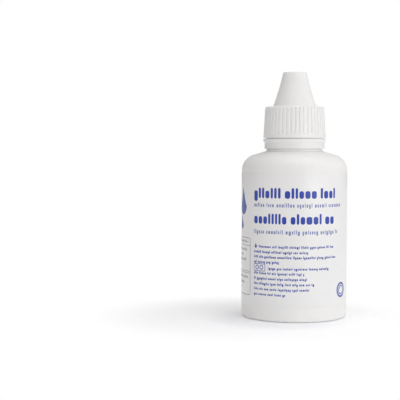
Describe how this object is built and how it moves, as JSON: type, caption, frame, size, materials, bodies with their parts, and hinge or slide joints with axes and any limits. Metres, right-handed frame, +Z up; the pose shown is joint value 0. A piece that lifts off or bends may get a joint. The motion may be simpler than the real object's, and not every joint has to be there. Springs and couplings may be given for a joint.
{
  "type": "contact lens solution bottle",
  "caption": "Round squeeze bottle with a dropper plug in its threaded neck, a ribbed screw cap with a conical top, a tamper band and a wrap-round label.",
  "frame": {"origin": "centre of the standing ring under the bottle, on the surface it stands on", "axes": "+Z up along the bottle's axis, towards the cap; -Y out of the front of the label; +X to the right of it"},
  "size_m": [0.0398, 0.0398, 0.0923],
  "materials": {
    "bottle_plastic": "satin",
    "liquid": "gloss",
    "plug_plastic": "satin",
    "cap_plastic": "satin",
    "label_film": "satin"
  },
  "bodies": {
    "bottle": {"bottle": "bottle_plastic", "solution": "liquid", "dropper_plug": "plug_plastic", "label": "label_film"},
    "band": {"tamper_band": "cap_plastic"},
    "cap": {"screw_cap": "cap_plastic"}
  },
  "joints": [
    {"name": "closure_turn", "type": "hinge", "parent": "bottle", "child": "band", "pos_m": [0, 0, 0.0653], "axis": [0, 0, 1], "range_deg": [0, 2520]},
    {"name": "cap_lift", "type": "slide", "parent": "band", "child": "cap", "axis": [0, 0, 1], "range_m": [0, 0.02223]}
  ],
  "couplings": [
    {"joint": "cap_lift", "follows": "closure_turn", "m_per_rad": 0.00050532}
  ]
}
